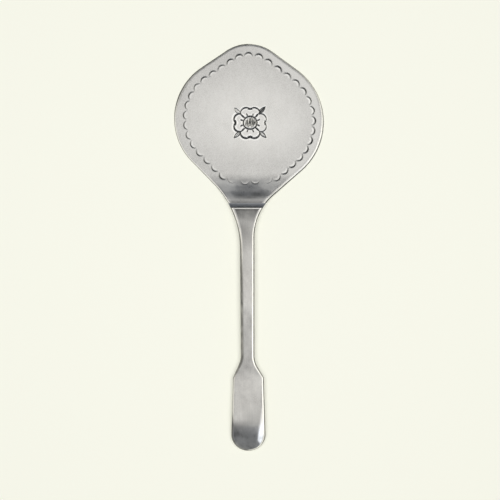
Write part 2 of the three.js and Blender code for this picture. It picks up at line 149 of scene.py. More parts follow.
# Polish of the blade: how far from its middle it reaches across, ahead and behind, and what is lost
# outwards and on the margin. Polish of the neck, what its sides lose and where it takes over.
POLISH_MIDDLE, POLISH_ACROSS, POLISH_AHEAD, POLISH_BEHIND = -3, 52, 41, 28
OUTER_LOSS, OUTWARDS, MARGIN_LOSS = 0.45, (0.25, 1), 0.12
NECK_POLISH, SIDES_LOSS, NECK_FROM = 0.95, 0.85, (-33, -38)

# Polish of the handle, what its right adds, and what its broad and its turned end add between two
# distances from the tip
HANDLE_POLISH, RIGHT_GAIN, END_GAINS = 0.66, 0.1, [(0.12, 105, 45), (0.2, 22, 14)]
SOLDER_POLISH = 0.7

# Painted highlight and painted shade on the handle, by distance behind the lip, beyond the crease and ahead
# of the tip. Patches of painted shade on the end ease in across it, and in and out along it.
LAND_PAINTED_HIGHLIGHT, LAND_STOP, FACET_BORDER = 0.6, 1.15, (-0.5, 0.6)
BEHIND_LIP_SHADE, BEHIND_LIP_SHADE_FROM, BEHIND_LIP_SHADE_FALL, BEHIND_LIP_SHADE_TO = (0.66, 0.48), 1.3, (1, 2.5), (10, 2)
STEM_PAINTED_SHADE, STEM_SHADE_LEFT, STEM_FROM, STEM_FALLS = 0.13, 0.042, (4, 12), [(13, 19), (30, 42)]
END_PAINTED_SHADE, END_SHADE_FROM = 0.46, (16, 9)
PATCHES = [(0.36, (2, -9), (20, 14), (7, 11)), (0.18, (-5, 1), (28, 19), (15, 17))]

# Painted shade on the fillet, more of it on the right, its reach in fillets, and painted shade on the film
FILLET_SHADE, FILLET_SHADE_RIGHT, FILLET_SHADE_TO, FILM_SHADE = 0.88, 0.012, 1.05, 0.45

# Punch marks: small crescents that bulge outwards. The row across the neck is worn and has its own places
# across and ahead of the lip, facings in degrees and strengths.
PUNCH_RADIUS = 2.6
PUNCH_SPREAD = np.radians(80)
PUNCH_WIDTH, PUNCH_END_WIDTH = 1.1, 0.04
# Range of strengths, and the gain for marks facing right, which adds painted shade and painted highlight
PUNCH_STRENGTH, RIGHT_STRONGER = (0.75, 1), 0.1
NECK_ROW = [(-11.1, 15.3, -125), (-2, 14, -90), (4, 14.3, -90), (12.9, 15.3, -55)]
NECK_ROW_WEAR = [0.3, 0.5, 0.6, 0.3]
PUNCH_DEPTH, BOWL_DEPTH = 0.24, 0.04

# Where a crescent's bowl and its painted highlight start as shares of its radius, how many half widths its
# groove and dark reach, how bright the painted highlight is on one that faces ahead, and powers of fade and
# strength
BOWL_FROM, BRIGHT_FROM = (0.3, 1), (0.35, 0.6)
GROOVE_REACH, DARK_REACH = 1.2, (0.5, 1.3)
BRIGHT_AHEAD, WIDTH_FADE, BRIGHT_FADE, BRIGHT_STRENGTH = 0.75, 0.7, 0.5, 0.3

# Engraved rose, about its own middle, for the petal that points to the blade's point. Lists of four give
# the petals, or the leaves between them, a quarter turn apart, and weights multiply the width of a line.
ROSE_X, ROSE_Y = 1, -1.7
PETAL_REACH = [1, 1.07, 1.03, 1.07]
PETAL_SPAN = [1.07, 1, 1.07, 1]
DISC_RADIUS, LINE_WIDTH, LINE_DEPTH, LINE_END = 3.75, 0.68, 0.26, 0.6
PETAL, PETAL_WEIGHT = [(5.2, 5), (5.9, 7.9), (2.6, 10.1), (0, 8.1)], [1, 1.35, 1.35, 0.85]
NOTCH_MARK = {"half": 1.1, "width": 0.85}
SEPAL, SEPAL_WEIGHT = [(2.9, 2.9), (4.9, 4.9)], 1.3
LEAF = {"base": (5.3, 5.2), "tip": (9, 8.6), "belly": 3.4, "belly_at": 0.4}
LEAF_TURN = np.radians([4.5, 1.5, 0, 1.5])
LEAF_WIDTH = [0.56, 0.34, 0.56, 0.54]
LEAF_FILL = [0.8, 0.05, 0.3, 0.1]
STAMENS, STAMEN_WEIGHT = [[(-1.3, 4.1), (-2, 5.3)], [(1.3, 4.1), (1.7, 5.2)]], 1.05
HATCH_WEIGHT, HATCHES = 1.05, [
    [(-2.4, -1.4), (-2.1, 1.4)], [(-1.6, -2.2), (-1.3, 2.3)], [(-0.8, -2.6), (-0.2, 2.8)],
    [(0.1, -1.6), (0.6, 3.3)], [(0.9, -2.5), (1.4, 2.6)], [(1.8, -1.8), (2.2, 2.2)], [(2.6, -0.9), (2.9, 1)],
]

# How far a cut reaches from its middle line in half widths: its groove, its dark and its bright burr. The
# strokes of the rose are a little narrower than the ring of its disc.
STROKE_REACH, RING_REACH = (1.8, 1.4), (2, 1.5)
DARK_CORE, BURR = 0.6, (4, 2)

# What the meshes' points carry: tarnish and painted shade, burnish and painted highlight, and how polished it
# is
MARKS = ("patina_and_shade", "burnish_and_highlight", "polish")

# Fineness of the meshes: steps of rims, back, outlines, profiles, cuts and ends, points across the tops,
# and the pitch of the rows from stop to stop, finest along the land. A hair stands on each side of a step.
RIM_STEPS, LOW_RIM_STEPS, BACK_STEPS = 10, 5, 10
CHAIN_STEPS, PROFILE_STEPS, CURVE_STEPS = 2001, 12001, 24
CAP_TURNS = np.radians(np.arange(0, 36, 0.7))
BLADE_PITCHES = [0.28, 0.19, 0.28, 0.4, 1.5]
LIP_STEPS, TIP_STEPS, TIP_FROM = 7, 70, 6
HANDLE_POINTS, SOLDER_POINTS = 60, 28
HANDLE_PITCHES, LAND_ROWS = [0.1, 0.4, 1, 0.6, 0.25], 2
SOLDER_PITCHES = [0.1, 1, 1, 1, 0.1]
HAIR = 0.001
WELD, SHARP_ANGLE = 1e-7, np.radians(40)

# Fine zones of the blade's top: the band of punch marks, between two distances from the outline but within
# a share of the width, and the rose with some room beside it. Then where the marks end ahead of the lip,
# and the points in each zone.
BAND, BAND_SHARE = (4.1, 8), 0.3
ROSE_ACROSS, ROSE_ALONG, ROSE_ROOM = (-12, 13.5), (11, -14), 0.06
MARKS_END = 11
ZONE_COUNTS = [4, 32, 8, 104, 8, 32, 4]

# The outline's normal: where it counts as square to the server, where the two sides' roundings meet and the
# least part of it across the server that a distance is divided by
SQUARE_FROM, MEETING, LEAST_NORMAL = (0.3, 0.7), (0.5, 0.95), 0.05


def smooth(low, high, value):
    """Eases from 0 to 1 as value goes from low to high, or falls to it: three t squared less two t cubed."""
    t = np.clip((value - low) / (high - low), 0, 1)
    return t * t * (3 - 2 * t)


def blend(a, b, share):
    """The value a share of the way from a to b."""
    return a + (b - a) * share


def circles_of(side):
    """The circles of one side from point to end, as rows of x, y and radius; a negative radius is hollow.

    The neck's hollow circle stands beside the stem's line, as far back as the straight cut between it and
    the blade's circle asks.
    """
    blade_x, blade_y = side["blade_half"] - side["side_radius"], side["side_at"]
    neck_x = side["stem_front"] + side["neck_radius"]
    radii = side["side_radius"] + side["neck_radius"]
    back = np.sqrt(radii**2 + side["neck_straight"] ** 2 - (neck_x - blade_x) ** 2)
    return np.array([
        [0, POINT - side["point_radius"], side["point_radius"]],
        [blade_x, blade_y, side["side_radius"]],
        [neck_x, blade_y - back, -side["neck_radius"]],
        [side["stem_back"] + FLARE_RADIUS, END + FLARE_AT, -FLARE_RADIUS],
        [SHOULDER_HALF - SHOULDER_RADIUS, END + SHOULDER_AT, SHOULDER_RADIUS],
        [0, END + END_RADIUS, END_RADIUS],
    ])


def outline_of(side):
    """A dense chain down one side, as rows of x, y, normal x and normal y.

    Neighbouring circles share a tangent line. Its normal's angle is that of the line between their middles
    plus the arc cosine of the difference of their radii over their distance. Along each arc the normal turns
    evenly, and a point is the middle plus the signed radius times the normal.
    """
    circles = circles_of(side)
    x, y, r = circles.T
    away = np.hypot(np.diff(x), np.diff(y))
    shared = np.arctan2(np.diff(y), np.diff(x)) + np.arccos(-np.diff(r) / away)
    angle = np.linspace(np.r_[np.pi / 2, shared], np.r_[shared, -np.pi / 2], CHAIN_STEPS)
    normal = np.stack([np.cos(angle), np.sin(angle)])
    place = np.stack([x, y])[:, None] + r * normal
    return np.concatenate([place, normal]).transpose(0, 2, 1).reshape(4, -1)


OUTLINES = [outline_of(LEFT), outline_of(RIGHT)]


def edge_at(side, y):
    """Half width and outward normal of one side, 0 left and 1 right, where the outline passes y."""
    x, along, nx, ny = OUTLINES[side][:, ::-1]
    return np.interp(y, along, x), np.interp(y, along, nx), np.interp(y, along, ny)


class Profile:
    """A line of changing slope, from rows of place and slope in degrees.

    The slope runs evenly from one station to the next. The height is the running sum of its tangent times
    short steps towards the handle's end.
    """

    def __init__(self, stations):
        self.places, self.slopes = np.array(stations, float).T
        self.y = np.linspace(self.places[0], END, PROFILE_STEPS)
        tangent = np.tan(self.slope(self.y))
        steps = -np.diff(self.y) * (tangent[1:] + tangent[:-1]) / 2
        self.height = np.r_[0, np.cumsum(steps)]

    def slope(self, y):
        return np.radians(np.interp(-y, -self.places, self.slopes))

    def rise(self, y):
        return np.interp(-y, -self.y, self.height)


TONGUE_END = -LIP - LAP
neck = Profile([(-LIP + ahead, slope) for ahead, slope in NECK_SLOPES])
arch = Profile(
    [(-LIP, NECK_SLOPES[-1][1])]
    + [(-LIP - behind, slope) for behind, slope in ARCH_SLOPES]
    + [(END + ahead, slope) for ahead, slope in END_SLOPES]
)
turn = Profile([(END + ahead, slope) for ahead, slope in TURN_SLOPES])


def blade_under(y):
    """The neck's line, flat under the blade."""
    return neck.rise(y)


def blade_top(y):
    """The underside's height plus the sheet, measured square to its slope."""
    return neck.rise(y) + SHEET / np.cos(neck.slope(y))


# The turned end is made as much steeper, all in one proportion, as it needs to touch the table
LIP_TOP = blade_top(-LIP) + FILM + LIP_HEIGHT
TURN_START = turn.places[0]
TURN_HEIGHT = LIP_TOP + arch.rise(TURN_START) - END_THICKNESS
STEEPEST = TURN_HEIGHT / turn.rise(END) * np.tan(turn.slope(END))
RIM_LIFT = UNDERSIDE_ROUNDING * (1 + STEEPEST - np.hypot(1, STEEPEST))
TURN_SHARE = -(TURN_HEIGHT + RIM_LIFT) / turn.rise(END)


def handle_back(y):
    """The handle's top line: the arch, then the end that turns down to the table."""
    return LIP_TOP + arch.rise(np.maximum(y, TURN_START)) + TURN_SHARE * turn.rise(y)


def handle_top(y):
    """The top line, with a level land filed along the lip and its front edge rounded by a quarter circle."""
    level = handle_back(np.minimum(y, -LIP - LIP_LAND))
    edge = np.clip(1 - (-LIP - y) / LIP_EDGE, 0, 1)
    return level - LIP_EDGE * (1 - np.sqrt(1 - edge**2))


def handle_under(y):
    """The underside: the top of the solder film over the tongue, then the top line less the thickness."""
    share = smooth(THINNING_AT, SHOULDER_AT, y - END)
    full = handle_back(y) - blend(STEM_THICKNESS, END_THICKNESS, share)
    return np.where(y > TONGUE_END - BUTT, blade_top(y) + FILM, full)


def meeting(widths, shared, y):
    """Left and right widths that become a shared one where the sides meet, at the point and at the end."""
    own = [smooth(*MEETING, edge_at(side, y)[1]) for side in (0, 1)]
    return [blend(shared, width, share) for width, share in zip(widths, own)]


def blade_rounding(y):
    """Per side one width along the lower edge and another along the shoulders of the point."""
    upper = smooth(*SHOULDERS, y)
    widths = [blend(*side["blade_rounding"], upper) for side in (LEFT, RIGHT)]
    return meeting(widths, sum(widths) / 2, np.maximum(y, 0))


def handle_rounding(y):
    """Full along the stem, finer from the shoulders on, and finest across the very end."""
    flare = smooth(FLARE_AT, SHOULDER_AT, y - END)
    widths = [blend(side["stem_rounding"], side["end_rounding"], flare) for side in (LEFT, RIGHT)]
    at_tip = meeting(widths, TIP_EDGE, y)
    return [np.where(y < END + END_RADIUS, narrowed, width) for narrowed, width in zip(at_tip, widths)]


def beyond_crease(x, y):
    """Distance into the facet from its crease, which turns a corner, and negative outside of it: the lesser
    of the distances from the crease's two lines, each a cross product with the line's direction."""
    sides = []
    for start, stop in zip(FACET_CREASE, FACET_CREASE[1:]):
        along = (stop - start) / np.hypot(*(stop - start))
        sides.append((y - start[1]) * along[0] - (x - start[0]) * along[1])
    return np.where(y < END + FACET_FROM, np.minimum(*sides), -1)


def worn_away(x, y):
    """How far the handle's top is worn below its top line: a crown across it, and the facet on its end.

    The crown falls by the square of the distance from the middle. The facet falls evenly beyond its crease,
    and the crease is softened as a hyperbola softens its two lines.
    """
    left, right = edge_at(0, y)[0], edge_at(1, y)[0]
    half = np.maximum((left + right) / 2, LEAST_CROWN_HALF)
    across = np.clip((x - (right - left) / 2) / half, -1, 1)
    beyond = beyond_crease(x, y)
    facet = (beyond + np.hypot(beyond, FACET_SOFTNESS)) / 2
    return HANDLE_CROWN * across**2 + np.tan(FACET_TILT) * facet * smooth(FACET_FROM, FACET_FULL, y - END)


def unworn(x, y):
    return np.zeros(x.shape)


def edge_shade_and_highlight(side, rows, height):
    """Painted shade and painted highlight of a rounded edge: painted shade on its outer part, thinner on the
    upright side below it, and painted highlight on the corner above it."""
    marks = EDGE_SHADE_AND_HIGHLIGHT[side]
    dark, reach, bright = (np.interp(-rows, -marks[:, 0], column)[:, None] for column in marks.T[1:])
    thin = blend(UPRIGHT_SHARE, 1, smooth(0, UPRIGHT_BELOW, height))
    patina_and_shade = dark * thin * (1 - smooth(reach + DARK_BORDER[0], reach + DARK_BORDER[1], height))
    burnish_and_highlight = bright * smooth(reach + BRIGHT_BORDER[0], reach + BRIGHT_BORDER[1], height)
    return np.stack([patina_and_shade, burnish_and_highlight * (1 - smooth(*BRIGHT_END, height))], axis=-1)


def no_painted_edges(side, rows, height):
    return np.zeros((len(rows), len(height), 2))


def solder_under(y):
    """On the blade's top, and down the tongue's end where the tongue stops."""
    return np.where(y > TONGUE_END, blade_top(y) + SEAT, blade_under(y))


def solder_top(y):
    """The film's top under the handle, and ahead of the lip a hollow quarter ellipse that climbs to it from
    a feather edge."""
    film = blade_top(y) + FILM - SEAT
    ahead = np.clip((y + LIP) / FILLET, 0, 1)
    climb = FILM + FILLET_HEIGHT - 2 * SEAT
    hollow = blade_top(y) + SEAT + climb * (1 - np.sqrt(np.clip(1 - (1 - ahead) ** 2, 0, 1)))
    marks = FILE_MARK["depth"] * np.sin(np.pi * (y + LIP) / FILE_MARK["pitch"]) ** 2 * (1 - ahead)
    return np.where(y > -LIP, np.maximum(hollow - marks, blade_top(y) + SEAT + FEATHER), film)


def stations(stops, pitches):
    """Places that fall from the first stop to the last, with one pitch between each two stops."""
    runs = [np.arange(a, b, -pitch) for a, b, pitch in zip(stops, stops[1:], pitches)]
    return np.concatenate(runs + [[stops[-1]]])


def rim(side, rows, under, top, rounding, low):
    """The rounded edge of one side for all rows: a quarter circle below and a quarter ellipse above.

    They take at most one third and two thirds of the thickness. Each point stands in from the outline by an
    inset, measured along the outline's normal. Where the edge runs along the server the inset is taken
    straight across instead, so that rows stay in their own plane.
    """
    x, nx, ny = (value[:, None] for value in edge_at(side, rows))
    low_turn = np.linspace(0, np.pi / 2, LOW_RIM_STEPS)
    turn = np.linspace(0, np.pi / 2, RIM_STEPS)
    wide = rounding[:, None]
    thick = (top(rows) - under(rows))[:, None]
    low = np.minimum(low, thick / 3)
    high = np.minimum(wide, thick * 2 / 3)
    inset = np.concatenate([low * (1 - np.sin(low_turn)), wide * (1 - np.cos(turn))], axis=1)
    across = smooth(*SQUARE_FROM, nx) * (rows[:, None] > END + END_RADIUS)
    reach = blend(nx, 1 / np.maximum(nx, LEAST_NORMAL), across)
    y = rows[:, None] - (1 - across) * inset * ny
    shift = y - rows[:, None]
    below = under(rows)[:, None] + low * (1 - np.cos(low_turn))
    above = top(rows)[:, None] - high * (1 - np.sin(turn))
    z = np.concatenate([below, above], axis=1) + top(rows[:, None] + shift) - top(rows)[:, None]
    outward = 1 if side else -1
    return np.stack([outward * (x - inset * reach), y, z], axis=2)


def plate(
    name, rows, under, top, rounding, spread, carve, polish,
    low=UNDERSIDE_ROUNDING, painted_edges=edge_shade_and_highlight, lower=unworn, caps=(True, True),
):
    """A closed skin round a plate, as one loop of points for each row of the outline.

    A loop climbs the left rim, crosses the top, goes down the right rim and comes back below. Spread gives
    the places of the points across the top from the two rims, and carve lowers them and marks the cuts.
    Lower takes the whole top down, and the sides in proportion to their height. An end with a cap is cut
    off flat and carries no marks.
    """
    left = rim(0, rows, under, top, rounding[0], low)
    right = rim(1, rows, under, top, rounding[1], low)[:, ::-1]
    share = spread(rows, left[:, -1, 0], right[:, 0, 0])[:, 1:-1, None]
    across = blend(left[:, -1:], right[:, :1], share)
    across[..., 2] = top(across[..., 1])
    depth, marks = carve(across[..., 0], across[..., 1])
    across[..., 2] -= depth
    back = np.linspace(0, 1, BACK_STEPS + 2)[1:-1, None]
    below = blend(right[:, -1:], left[:, :1], back)
    loops = np.concatenate([left, across, right, below], axis=1)
    x, y, z = np.moveaxis(loops, 2, 0)
    loops[..., 2] = z - lower(x, y) * np.clip((z - under(y)) / (top(y) - under(y)), 0, 1)
    height = np.r_[np.zeros(LOW_RIM_STEPS), np.linspace(0, 1, RIM_STEPS)]
    bare = np.zeros(below.shape[:2] + (2,))
    # Painted shade and painted highlight of both rounded edges
    marks = np.concatenate([painted_edges(0, rows, height), marks, painted_edges(1, rows, height)[:, ::-1], bare], axis=1)
    for row, capped in zip((0, -1), caps):
        marks[row] *= not capped
    return skin(name, loops, np.concatenate([marks, polish(x, y)[..., None]], axis=2), caps)


def put(name, data):
    """A new object in the scene."""
    made = bpy.data.objects.new(name, data)
    bpy.context.scene.collection.objects.link(made)
    return made


def skin(name, loops, marks, caps):
    """A mesh from closed loops of points: quads between loops, and a face over each end that is cut flat.

    Its marks become attributes of the points. Points that fall together are merged and the faces turned out.
    """
    count, size = loops.shape[:2]
    index = np.arange(count * size).reshape(count, size)
    beside = np.roll(index, -1, axis=1)
    quads = np.stack([index[:-1], index[1:], beside[1:], beside[:-1]], axis=2).reshape(-1, 4)
    ends = [index[0]] * caps[0] + [index[-1][::-1]] * caps[1]
    mesh = bpy.data.meshes.new(name)
    mesh.from_pydata((loops * MM).reshape(-1, 3), [], quads.tolist() + [end.tolist() for end in ends])
    for channel, layer in enumerate(MARKS):
        attribute = mesh.attributes.new(layer, "FLOAT", "POINT")
        attribute.data.foreach_set("value", marks[..., channel].ravel().astype(np.float32))
    welded = bmesh.new()
    welded.from_mesh(mesh)
    bmesh.ops.remove_doubles(welded, verts=welded.verts, dist=WELD)
    bmesh.ops.recalc_face_normals(welded, faces=welded.faces)
    welded.to_mesh(mesh)
    welded.free()
    mesh.shade_smooth()
    mesh.set_sharp_from_angle(angle=SHARP_ANGLE)
    return put(name, mesh)


def even(count):
    """A spread of evenly spaced points across the top."""
    return lambda rows, left, right: np.broadcast_to(np.linspace(0, 1, count), (len(rows), count))


def blade_spread(rows, left, right):
    """Points across the blade's top, close together in the band along each edge and over the rose."""
    width = right - left
    anchors = []
    for side, rounding in enumerate(blade_rounding(rows)):
        nx = np.maximum(edge_at(side, rows)[1], LEAST_NORMAL)
        share = np.minimum(1, BAND_SHARE * width * nx / BAND[1])
        anchors.append([(distance - rounding) / nx * share for distance in BAND])
    (left_out, left_in), (right_out, right_in) = anchors
    inner_left, inner_right = left + left_in, right - right_in
    gap = inner_right - inner_left
    rose_left = np.clip(ROSE_ACROSS[0], inner_left + ROSE_ROOM * gap, inner_right - gap / 2)
    rose_right = np.clip(ROSE_ACROSS[1], inner_left + gap / 2, inner_right - ROSE_ROOM * gap)
    stops = [left, left + left_out, inner_left, rose_left, rose_right, inner_right, right - right_out, right]
    runs = []
    for start, stop, count in zip(stops, stops[1:], ZONE_COUNTS):
        runs.append(blend(start[:, None], stop[:, None], np.arange(count) / count))
    x = np.concatenate(runs + [right[:, None]], axis=1)
    return (x - left[:, None]) / np.maximum(width, HAIR**2)[:, None]


def punch_marks():
    """Crowns, facings and strengths of the crescents: they step down both sides from the point.

    A side's marks lie a pitch apart along the outline moved in by the border's inset. They drift from even
    steps by a half wave and face outwards along the outline's normal. Those facing right are made stronger,
    deeper and wider, with more painted shade in their grooves and brighter painted highlight in their bowls.
    """
    crowns = [[0, POINT - (LEFT["border_inset"] + RIGHT["border_inset"]) / 2, np.pi / 2]]
    lowest = -LIP + max(ahead for _, ahead, _ in NECK_ROW)
    for sizes, outline, outward in zip((LEFT, RIGHT), OUTLINES, (-1, 1)):
        x, y, nx, ny = outline[:, : 3 * CHAIN_STEPS]
        x = x - sizes["border_inset"] * nx
        y = y - sizes["border_inset"] * ny
        run = np.r_[0, np.cumsum(np.hypot(np.diff(x), np.diff(y)))]
        pitch = sizes["border_pitch"]
        even_steps = np.arange(pitch, run[-1], pitch)
        count = int(np.sum(np.interp(even_steps, run, y) > lowest))
        i = np.arange(1, count + 1)
        along = i * pitch + sizes["border_drift"] * np.sin(np.pi * i / count)
        facing = np.arctan2(np.interp(along, run, ny), outward * np.interp(along, run, nx))
        places = [outward * np.interp(along, run, x), np.interp(along, run, y), facing]
        crowns += np.stack(places, axis=1).tolist()
    crowns += [[across, -LIP + ahead, np.radians(facing)] for across, ahead, facing in NECK_ROW]
    crowns = np.array(crowns)
    strengths = np.random.default_rng(SEED).uniform(*PUNCH_STRENGTH, len(crowns))
    strengths *= 1 - RIGHT_STRONGER + RIGHT_STRONGER * np.cos(crowns[:, 2])
    strengths[-len(NECK_ROW):] = NECK_ROW_WEAR
    return crowns, strengths


def bezier(points):
    """A curve through its first and last point, drawn towards those between: Bernstein's polynomials."""
    points = np.array(points, float)[:, None]
    t = np.linspace(0, 1, CURVE_STEPS)[:, None]
    while len(points) > 1:
        points = points[:-1] * (1 - t) + points[1:] * t
    return points[0]


def on_rose(points, quarter, turn=0.0):
    """Places on the rose after a number of quarter turns and a small turn, drawn out as that petal is."""
    x, y = np.array(points, float).T
    x, y = x * PETAL_SPAN[quarter], y * PETAL_REACH[quarter]
    angle = turn + quarter * np.pi / 2
    along, across = np.cos(angle), np.sin(angle)
    return np.stack([ROSE_X + along * x - across * y, ROSE_Y + across * x + along * y], axis=1)


def rose_strokes():
    """Every cut of the rose as its middle line and its width."""
    strokes = []
    for quarter, (weight, fill) in enumerate(zip(PETAL_WEIGHT, LEAF_FILL)):
        base, tip = on_rose([LEAF["base"], LEAF["tip"]], quarter, LEAF_TURN[quarter])
        along = (tip - base) / np.hypot(*(tip - base))
        for hand in (1, -1):
            lobe = [(hand * x, y) for x, y in PETAL]
            strokes.append((bezier(on_rose(lobe, quarter)), weight * LINE_WIDTH))
            aside = hand * LEAF["belly"] / 2 * np.array([-along[1], along[0]])
            belly = blend(base, tip, LEAF["belly_at"]) + aside
            strokes.append((bezier([base, belly, tip]), LEAF_WIDTH[quarter]))
        strokes.append((bezier([base, tip]), fill))
        notch = PETAL[-1]
        ends = [(notch[0] - NOTCH_MARK["half"], notch[1]), (notch[0] + NOTCH_MARK["half"], notch[1])]
        strokes.append((bezier(on_rose(ends, quarter)), weight * NOTCH_MARK["width"]))
        sepal = on_rose(SEPAL, quarter, LEAF_TURN[quarter])
        strokes.append((bezier(sepal), SEPAL_WEIGHT * LINE_WIDTH))
        strokes += [(bezier(on_rose(line, quarter)), STAMEN_WEIGHT * LINE_WIDTH) for line in STAMENS]
    strokes += [(bezier(on_rose(line, 0)), HATCH_WEIGHT * LINE_WIDTH) for line in HATCHES]
    return strokes


def near(x, y, points, reach):
    """Which places lie within reach of a set of points' box."""
    low, high = points.min(axis=0) - reach, points.max(axis=0) + reach
    return (x > low[0]) & (x < high[0]) & (y > low[1]) & (y < high[1])


def line_distance(x, y, points):
    """Distance from places to a chain of points, and how far along the chain the nearest point lies."""
    start, step = points[:-1], np.diff(points, axis=0)
    offset = np.stack([x, y], axis=1)[:, None] - start
    t = np.clip((offset * step).sum(2) / (step**2).sum(1), 0, 1)
    gap = np.hypot(*np.moveaxis(offset - t[..., None] * step, 2, 0))
    nearest = gap.argmin(axis=1)
    rows = np.arange(len(gap))
    return gap[rows, nearest], (nearest + t[rows, nearest]) / len(start)


def mark(layers, at, depth, patina_and_shade, burnish_and_highlight):
    """Keeps the deepest, darkest and brightest of the old and new values in the layers, at some places."""
    for layer, value in zip(layers, (depth, patina_and_shade, burnish_and_highlight)):
        layer[at] = np.maximum(layer[at], value)


def engrave(layers, at, gap, half, reach):
    """A line cut as a groove, deepest and dark along its middle, with a bright burr: each eases out with the
    gap from the middle line."""
    groove = LINE_DEPTH * (1 - smooth(0, reach[0] * half, gap))
    dark = 1 - smooth(DARK_CORE * half, reach[1] * half, gap)
    mark(layers, at, groove, dark, smooth(BURR[0] * half, BURR[1] * half, gap))


def carve_rose(x, y, layers):
    """The ring of the rose's disc and all its strokes, which thin out towards both ends by a half wave."""
    disc = np.hypot((x - ROSE_X) / PETAL_SPAN[0], (y - ROSE_Y) / PETAL_REACH[0])
    engrave(layers, ..., np.abs(disc - DISC_RADIUS), LINE_WIDTH / 2, RING_REACH)
    for points, width in rose_strokes():
        at = near(x, y, points, 2 * width)
        gap, along = line_distance(x[at], y[at], points)
        half = width / 2 * blend(LINE_END, 1, np.sin(np.pi * along))
        engrave(layers, at, gap, half, STROKE_REACH)


def punch_border(x, y, layers):
    """The crescents: a steep outer wall on an arc, dark along it, and inside the arc a shallow bowl with a
    painted highlight.

    The bowl runs out towards the arc's middle. Everything fades with the turn from the crescent's facing, by
    a quarter wave on each side, and is shallower and narrower where the mark is weaker.
    """
    for (crown_x, crown_y, facing), strength in zip(*punch_marks()):
        middle_x = crown_x - PUNCH_RADIUS * np.cos(facing)
        middle_y = crown_y - PUNCH_RADIUS * np.sin(facing)
        at = near(x, y, np.array([[middle_x, middle_y]]), PUNCH_RADIUS + PUNCH_WIDTH)
        dx, dy = x[at] - middle_x, y[at] - middle_y
        radius = np.hypot(dx, dy)
        turn = np.abs(np.angle(np.exp(1j * (np.arctan2(dy, dx) - facing))))
        fade = np.clip(np.cos(turn / PUNCH_SPREAD * np.pi / 2), 0, 1) * (turn < PUNCH_SPREAD)
        struck = np.sqrt(strength * fade)
        half = (PUNCH_WIDTH * strength * fade**WIDTH_FADE + PUNCH_END_WIDTH) / 2
        line = np.abs(radius - PUNCH_RADIUS)
        wall = smooth(-half, half, PUNCH_RADIUS - radius + half)
        bowl = BOWL_DEPTH * smooth(*BOWL_FROM, radius / PUNCH_RADIUS) * wall
        groove = PUNCH_DEPTH * (1 - smooth(0, GROOVE_REACH * half, line))
        dark = 1 - smooth(DARK_REACH[0] * half, DARK_REACH[1] * half, line)
        inside = smooth(*BRIGHT_FROM, radius / PUNCH_RADIUS) * (radius < PUNCH_RADIUS)
        # Painted highlight in the bowl, brighter on marks that face right and fainter on those that face left
        bright = strength**BRIGHT_STRENGTH * blend(BRIGHT_AHEAD, 1, np.cos(facing)) * fade**BRIGHT_FADE
        mark(layers, at, struck * (bowl + groove), struck * dark, bright * inside)


def hills(x, y, rows):
    """Bell-shaped hills, one for each row of middle, reach across and along, and height."""
    for place_x, place_y, across, along, height in rows:
        yield height * np.exp(-(((x - place_x) / across) ** 2) - ((y - place_y) / along) ** 2)


def carve_blade(x, y):
    """Depth of the cuts and dents at places on the blade's top, its tarnish and painted shade, and its
    burnished metal and painted highlight.
    """
    depth, patina_and_shade, burnish_and_highlight = layers = [np.zeros(x.shape) for _ in range(3)]
    carve_rose(x, y, layers)
    punch_border(x, y, layers)
    # Painted sheen on the margin outside the border, mostly on the right
    margin = MARGIN_PAINTED_SHEEN * smooth(*MARGIN, edge_distance(x, y))
    margin = margin * smooth(*MARGIN_ACROSS, x) * smooth(*MARGIN_ALONG, y)
    # Painted sheen on the sides of the neck's bend, stronger on the left
    sides = np.where(x < 0, *SIDES_PAINTED_SHEEN) * neck_sides(x, y)
    # Painted shade in a band before the lip, and the painted sheens of the margin and the bend's sides
    mark(layers, ..., 0, LIP_PAINTED_SHADE * smooth(*LIP_SHADE_EDGE, y), np.maximum(margin, sides))
    # Darker patches on the neck
    for dark_patch in hills(x, y, NECK_DARK_PATCHES):
        mark(layers, ..., 0, dark_patch, 0)
    for dent in hills(x, y, NECK_DENTS):
        depth += dent
    return depth, np.stack([patina_and_shade, burnish_and_highlight * (1 - patina_and_shade)], axis=-1)


def edge_distance(x, y):
    """Distance in from the outline, taken straight across and then foreshortened by the outline's normal."""
    left, right = (edge_at(side, y) for side in (0, 1))
    edge, nx = (np.where(x < 0, a, b) for a, b in zip(left[:2], right[:2]))
    return (edge - np.abs(x)) * np.maximum(nx, LEAST_NORMAL)


def neck_sides(x, y):
    """The grainy sides of the neck's bend, with uneven borders from two waves, and the strips along its
    edges nearer to the handle."""
    ripple = RIPPLE[0] * np.sin(RIPPLE[1] * y + np.sign(x))
    uneven = ripple + WAVE[0] * np.sin(WAVE[1] * y + WAVE[2] * x)
    start = blend(SIDES_UPPER, np.where(x < 0, *SIDES_LOWER), smooth(*SIDES_CHANGE, y))
    bend = smooth(0, SIDES_EASE, np.abs(x) + uneven - start)
    bend = bend * smooth(*SIDES_FROM, y) * (1 - smooth(*SIDES_TO, y))
    return np.maximum(bend, smooth(*STRIP, edge_distance(x, y)) * smooth(*STRIP_FROM, y))


def blade_polish(x, y):
    """How smooth the sheet is rubbed: most in its middle, less outside the border, and least on the sides of
    the neck's bend."""
    reach = np.where(y > POLISH_MIDDLE, POLISH_AHEAD, POLISH_BEHIND)
    away = np.hypot(x / POLISH_ACROSS, (y - POLISH_MIDDLE) / reach)
    flat = 1 - OUTER_LOSS * smooth(*OUTWARDS, away) - MARGIN_LOSS * smooth(*MARGIN, edge_distance(x, y))
    return blend(flat, NECK_POLISH - SIDES_LOSS * neck_sides(x, y), smooth(*NECK_FROM, y))


def handle_polish(x, y):
    """Rubbed brighter towards the right, on the broad end and most where the end turns down."""
    polish = HANDLE_POLISH + RIGHT_GAIN * np.clip(x / SHOULDER_HALF, -1, 1)
    for gain, start, stop in END_GAINS:
        polish += gain * smooth(start, stop, y - END)
    return polish


def solder_polish(x, y):
    return np.full(x.shape, SOLDER_POLISH)


